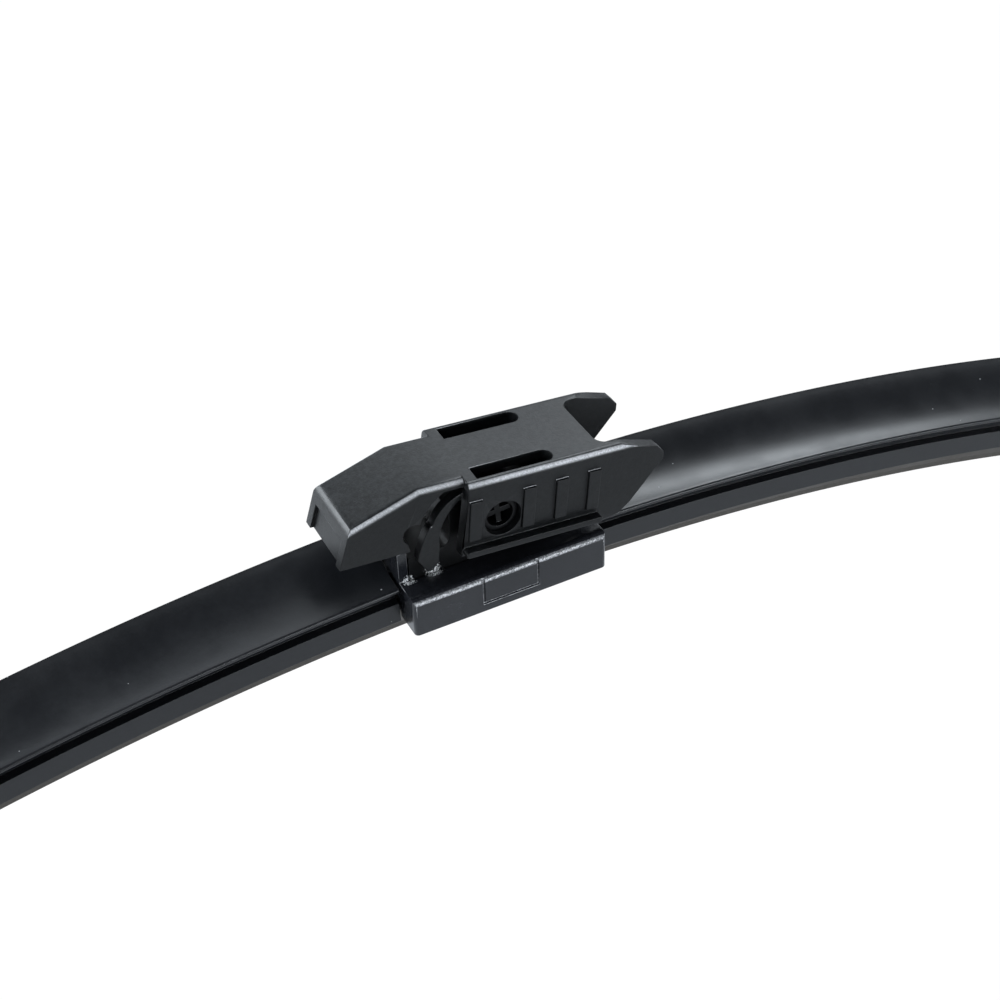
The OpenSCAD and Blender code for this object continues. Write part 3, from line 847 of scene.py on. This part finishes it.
@dataclass
class Spoiler:
    """The extruded spoiler, with the channel that holds springs and rubber under its wind face.

    Reaches and halves are measured across from the blade's middle, floors and heights from the
    springs' middle plane, and starts and end along the curve from the middle.
    """

    curve: BladeCurve
    channel_half: float = 4.6
    channel_floor: float = -1.72
    cavity_top: float = 1.17
    cavity_floor: float = -1.02
    cavity_half: float = 3.66
    jaw_half: float = 1.25
    groove_floor: float = 1.72
    groove_depth: float = 1.5
    front_reach: float = 5.5
    front_height: float = 5.1
    crest_reach: float = 4.9
    crest_height: float = 10.2
    scoop_depth: float = 1.5
    scoop_steps: int = 22
    lip_r: float = 0.45
    lip_drop: float = 0.5
    lip_steps: int = 12
    crest_r: float = 0.4
    crest_steps: int = 8
    meet: float = 20.0
    grip_r: float = 0.8
    grip_out: float = 0.5
    grip_steps: int = 60
    grip_every: int = 3
    wall_foot: float = 0.5
    left_start: float = 15.45
    right_start: float = 16.25
    end: float = 198.7
    edge: float = 0.1

    def section(self) -> list[Point]:
        """Draws the spoiler's section.

        Returns:
            One closed outline, points across and up.
        """
        lip = (-self.front_reach + self.lip_r, self.front_height - self.lip_r)
        crest = (self.crest_reach - self.crest_r, self.crest_height - self.crest_r)
        brow = arc(lip, self.lip_r, -90, -270 + self.meet, self.lip_steps)
        ridge = arc(crest, self.crest_r, 90 - self.meet, 0, self.crest_steps)
        inner = -self.channel_half + self.groove_depth
        return [
            (-self.channel_half, self.channel_floor),
            (-self.channel_half, self.groove_floor),
            (inner, self.groove_floor),
            (inner, self.front_height - 2 * self.lip_r - self.lip_drop),
            *brow,
            *self._scoop(brow[-1], ridge[0]),
            *ridge,
            *self._grip(),
            (self.channel_half, self.groove_floor - self.wall_foot),
            (self.channel_half, self.channel_floor),
            (self.jaw_half, self.channel_floor),
            (self.jaw_half, self.cavity_floor),
            (self.cavity_half, self.cavity_floor),
            (self.cavity_half, self.cavity_top),
            (-self.cavity_half, self.cavity_top),
            (-self.cavity_half, self.cavity_floor),
            (-self.jaw_half, self.cavity_floor),
            (-self.jaw_half, self.channel_floor),
        ]

    def _scoop(self, low: Point, high: Point) -> list[Point]:
        """Draws the hollow of the wind face.

        Args:
            low: where it begins, at the lip.
            high: where it ends, at the crest.

        Returns:
            The points between those two.
        """
        chord = math.dist(low, high)
        radius = (chord**2 / 4 + self.scoop_depth**2) / (2 * self.scoop_depth)
        across = ((low[1] - high[1]) / chord, (high[0] - low[0]) / chord)
        centre = tuple((a + b) / 2 + n * (radius - self.scoop_depth) for a, b, n in zip(low, high, across))
        first = math.degrees(math.atan2(low[1] - centre[1], low[0] - centre[0]))
        last = math.degrees(math.atan2(high[1] - centre[1], high[0] - centre[0]))
        return arc(centre, radius, first, last, self.scoop_steps)[1:-1]

    def _grip(self) -> list[Point]:
        """Draws the round groove along the rear wall, where its circle cuts into the leaning wall.

        Returns:
            The points from its top to its bottom.
        """
        foot = (self.channel_half, self.groove_floor - self.wall_foot)
        head = (self.crest_reach, self.crest_height - self.crest_r)
        lean = (head[0] - foot[0]) / (head[1] - foot[1])
        middle = (self.channel_half + self.grip_out, self.groove_floor + self.grip_r)
        circle = arc(middle, self.grip_r, 90, 270, self.grip_steps)
        return [p for p in circle if p[0] < foot[0] + (p[1] - foot[1]) * lean][::self.grip_every]

    def build(self, finishes: Finishes) -> None:
        """Makes both halves of the spoiler.

        Args:
            finishes: the finishes of the blade.
        """
        for side, start in ((Side.LEFT, self.left_start), (Side.RIGHT, self.right_start)):
            name = side.name.lower()
            ends = sorted((side.value * start, side.value * self.end))
            piece = self.curve.sweep(f"spoiler_{name}_skin", self.section(), *ends)
            soften(piece, self.edge)
            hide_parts(f"spoiler_{name}")
            finishes.dress(piece, finishes.SPOILER)
            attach(piece, Body.BLADE.value)
            log.info("spoiler %s: %d faces", name, len(piece.data.polygons))


@dataclass
class WipingRubber:
    """The wiping rubber: head, neck, flange, web, wedge and edge in one extrusion."""

    curve: BladeCurve
    end: float = 198.7
    edge: float = 0.07
    half_section: tuple[Point, ...] = (
        (2.1, 1.11), (2.4, 0.81), (2.4, 0.46), (0.94, 0.46), (0.94, -0.46), (3.0, -0.46), (3.0, -0.96),
        (1.19, -0.96), (1.19, -1.82), (0.35, -1.82), (0.35, -2.42), (1.7, -2.42), (1.7, -2.92),
        (0.55, -5.8), (0.3, -5.9), (0.3, -6.9),
    )

    def build(self, finishes: Finishes) -> None:
        """Makes the rubber.

        Args:
            finishes: the finishes of the blade.
        """
        other = [(-y, z) for y, z in reversed(self.half_section)]
        piece = self.curve.sweep("wiping_rubber_skin", [*self.half_section, *other], -self.end, self.end)
        soften(piece, self.edge)
        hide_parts("wiping_rubber")
        finishes.dress(piece, finishes.RUBBER)
        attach(piece, Body.BLADE.value)
        log.info("wiping rubber: %d faces", len(piece.data.polygons))


@dataclass
class Springs:
    """The two spring strips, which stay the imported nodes."""

    nodes: tuple[str, str] = ("spring_strip_front", "spring_strip_rear")

    def build(self, finishes: Finishes) -> None:
        """Dresses both strips.

        Args:
            finishes: the finishes of the blade.
        """
        for node in self.nodes:
            finishes.dress(frame["nodes"][node], finishes.STEEL)
            log.info("%s dressed", node)


@dataclass
class EndCaps:
    """The closed caps at both ends of the blade."""

    edge: float = 0.2

    def build(self, finishes: Finishes) -> None:
        """Makes both caps with rounded edges.

        Args:
            finishes: the finishes of the blade.
        """
        for side in Side:
            name = side.name.lower()
            piece = refined_copy(f"end_cap_{name}", f"end_cap_{name}_shell")
            soften(piece, self.edge)
            finishes.dress(piece, finishes.CAP)
            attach(piece, Body.BLADE.value)
            log.info("end cap %s: %d faces", name, len(piece.data.polygons))


# Studio


@dataclass(frozen=True)
class SoftBox:
    """A soft rectangular lamp: its place, size and target in metres, and its power in watts."""

    name: str
    place: Place
    size: tuple[float, float]
    power: float
    target: Place = (0.0, 0.0, 0.0)

    TINT: ClassVar[Colour] = (0.92, 0.985, 1.04)

    def hang(self) -> None:
        """Hangs the lamp so that it looks at its target."""
        data = bpy.data.lights.new(self.name, "AREA")
        data.shape = "RECTANGLE"
        data.size, data.size_y = self.size
        data.energy = self.power
        data.color = self.TINT
        item = bpy.data.objects.new(self.name, data)
        bpy.context.scene.collection.objects.link(item)
        item.location = self.place
        item.rotation_euler = (Vector(self.target) - Vector(self.place)).to_track_quat("-Z", "Y").to_euler()


@dataclass
class Studio:
    """White floor and surroundings, soft lamps, and the camera of the photograph.

    The camera's place is in millimetres, and so is floor_gap, the way that the blade's ends drop
    under the solids' box when it pivots. The floor's size and the near clip are in metres.
    """

    camera_at: Place = (-81.015, -175.554, 153.987)
    right: Place = (0.88872, -0.45719, -0.03387)
    up: Place = (0.31122, 0.54743, 0.77683)
    back: Place = (-0.33662, -0.70093, 0.62880)
    lens: float = 62.28
    sensor: float = 36.0
    near_clip: float = 0.01
    floor_gap: float = 14.0
    floor_size: float = 6.0
    floor_colour: Colour = (0.60, 0.60, 0.61)
    floor_roughness: float = 0.8
    floor_glow: float = 1.02
    floor_glow_share: float = 0.96
    white: Colour = (1.0, 1.0, 1.0)
    soft_grey: Colour = (0.096, 0.102, 0.110)
    left_half: ClassVar[Place] = (-0.16, 0.15, -0.06)
    lamps: tuple[SoftBox, ...] = (
        SoftBox("Right side panel", (0.54, 0.40, 0.68), (0.26, 0.80), 4.7),
        SoftBox("Front low", (0.38, -0.86, 0.08), (0.90, 0.09), 5.0),
        SoftBox("Backdrop panel", (0.36, 0.70, 0.60), (1.05, 0.8), 4.0),
        SoftBox("Left floor fill", (-0.55, 0.12, 0.30), (0.3, 0.3), 2.6, left_half),
        SoftBox("Left rear", (-0.70, 0.74, 0.34), (0.7, 0.5), 12.5, left_half),
        SoftBox("Front left", (-0.67, -0.57, 0.48), (0.4, 0.4), 1.4),
        SoftBox("Overhead strip", (0.34, 0.24, 0.88), (0.30, 0.10), 0.9),
    )

    def camera(self) -> None:
        """Places the camera at the photograph's angle."""
        data = bpy.data.cameras.new("Camera")
        data.lens = self.lens
        data.sensor_width = self.sensor
        data.clip_start = self.near_clip
        camera = bpy.data.objects.new("Camera", data)
        bpy.context.scene.collection.objects.link(camera)
        turn = Matrix((self.right, self.up, self.back)).transposed()
        camera.matrix_world = Matrix.Translation(Vector(self.camera_at) * MM) @ turn.to_4x4()
        bpy.context.scene.camera = camera

    def floor(self) -> None:
        """Lays the white floor under the lowest point that the blade's ends reach when it pivots."""
        level = CAD_BOX[0][2] - self.floor_gap * MM
        select_only()
        bpy.ops.mesh.primitive_plane_add(size=self.floor_size, location=(0, 0, level))
        floor = bpy.context.active_object
        floor.name = "floor"
        floor.data.materials.append(self._floor_white())

    def _floor_white(self) -> bpy.types.Material:
        """Makes a white that the camera sees nearly clean, and that still keeps the object's shadow.

        Returns:
            The floor's material.
        """
        material = bpy.data.materials.new("Floor white")
        material.use_nodes = True
        nodes = Nodes(material.node_tree)
        shader = nodes.tree.nodes["Principled BSDF"]
        nodes.feed(shader.inputs["Base Color"], (*self.floor_colour, 1.0))
        nodes.feed(shader.inputs["Roughness"], self.floor_roughness)
        glow = nodes.add("ShaderNodeEmission")
        nodes.feed(glow.inputs["Strength"], self.floor_glow)
        seen = nodes.add("ShaderNodeLightPath").outputs["Is Camera Ray"]
        share = nodes.math("MULTIPLY", seen, self.floor_glow_share)
        nodes.show(share, shader.outputs[0], glow.outputs[0], nodes.tree.nodes["Material Output"])
        return material

    def surroundings(self) -> None:
        """Makes the surroundings white to the camera, and a plain soft grey as light."""
        world = bpy.data.worlds.new("Surroundings")
        bpy.context.scene.world = world
        world.use_nodes = True
        nodes = Nodes(world.node_tree)
        nodes.tree.nodes.clear()
        seen = nodes.add("ShaderNodeLightPath").outputs["Is Camera Ray"]
        clean = nodes.add("ShaderNodeBackground")
        nodes.feed(clean.inputs["Color"], (*self.white, 1.0))
        soft = nodes.add("ShaderNodeBackground")
        nodes.feed(soft.inputs["Color"], (*self.soft_grey, 1.0))
        nodes.show(seen, soft.outputs[0], clean.outputs[0], nodes.add("ShaderNodeOutputWorld"))

    def build(self) -> None:
        """Sets up the whole studio."""
        bpy.context.scene.view_settings.view_transform = "Standard"
        self.camera()
        self.floor()
        self.surroundings()
        for lamp in self.lamps:
            lamp.hang()
        log.info("studio: %d lamps", len(self.lamps))


def main() -> None:
    """Builds the studio and every sub-assembly in order."""
    logging.basicConfig(level=logging.INFO, format="%(name)s: %(message)s")
    finishes = Finishes(ShaderGroups())
    curve = BladeCurve()
    Studio().build()
    Adapter().build(finishes)
    CentreBase().build(finishes)
    Spoiler(curve).build(finishes)
    WipingRubber(curve).build(finishes)
    Springs().build(finishes)
    EndCaps().build(finishes)


if __name__ == "__main__":
    main()
